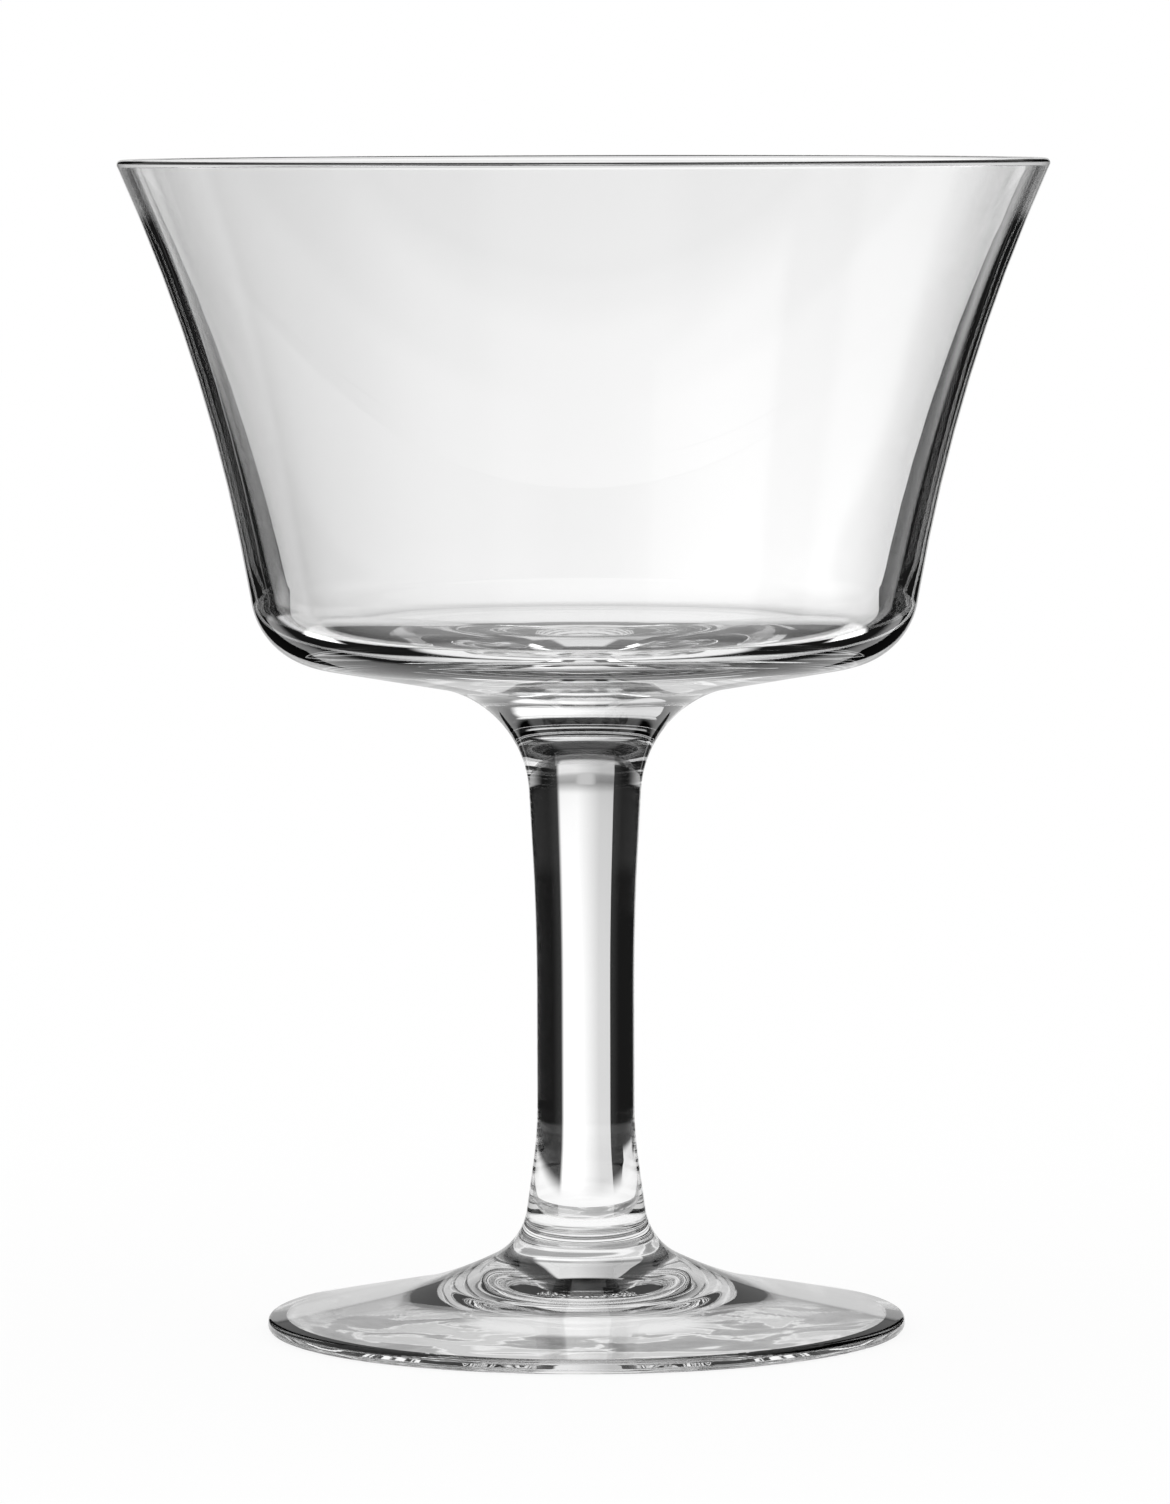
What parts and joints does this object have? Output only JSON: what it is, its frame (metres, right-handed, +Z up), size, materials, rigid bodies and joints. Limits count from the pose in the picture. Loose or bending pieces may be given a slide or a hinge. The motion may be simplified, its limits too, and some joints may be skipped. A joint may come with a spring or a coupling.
{
  "type": "coupe glass",
  "caption": "Clear coupe glass: a flared, heavy-based bowl on a slim solid stem and a round foot, fused hot into one drinking glass.",
  "frame": {"origin": "centre of the foot's underside, on the plane the glass stands on", "axes": "+Z up along the axis of the glass; X and Y lie in the table plane"},
  "size_m": [0.095, 0.095, 0.12],
  "materials": {
    "clear_glass": "fire-polished, clear and colourless"
  },
  "bodies": {
    "root": {"bowl": "clear_glass", "stem": "clear_glass", "foot": "clear_glass"}
  },
  "joints": []
}
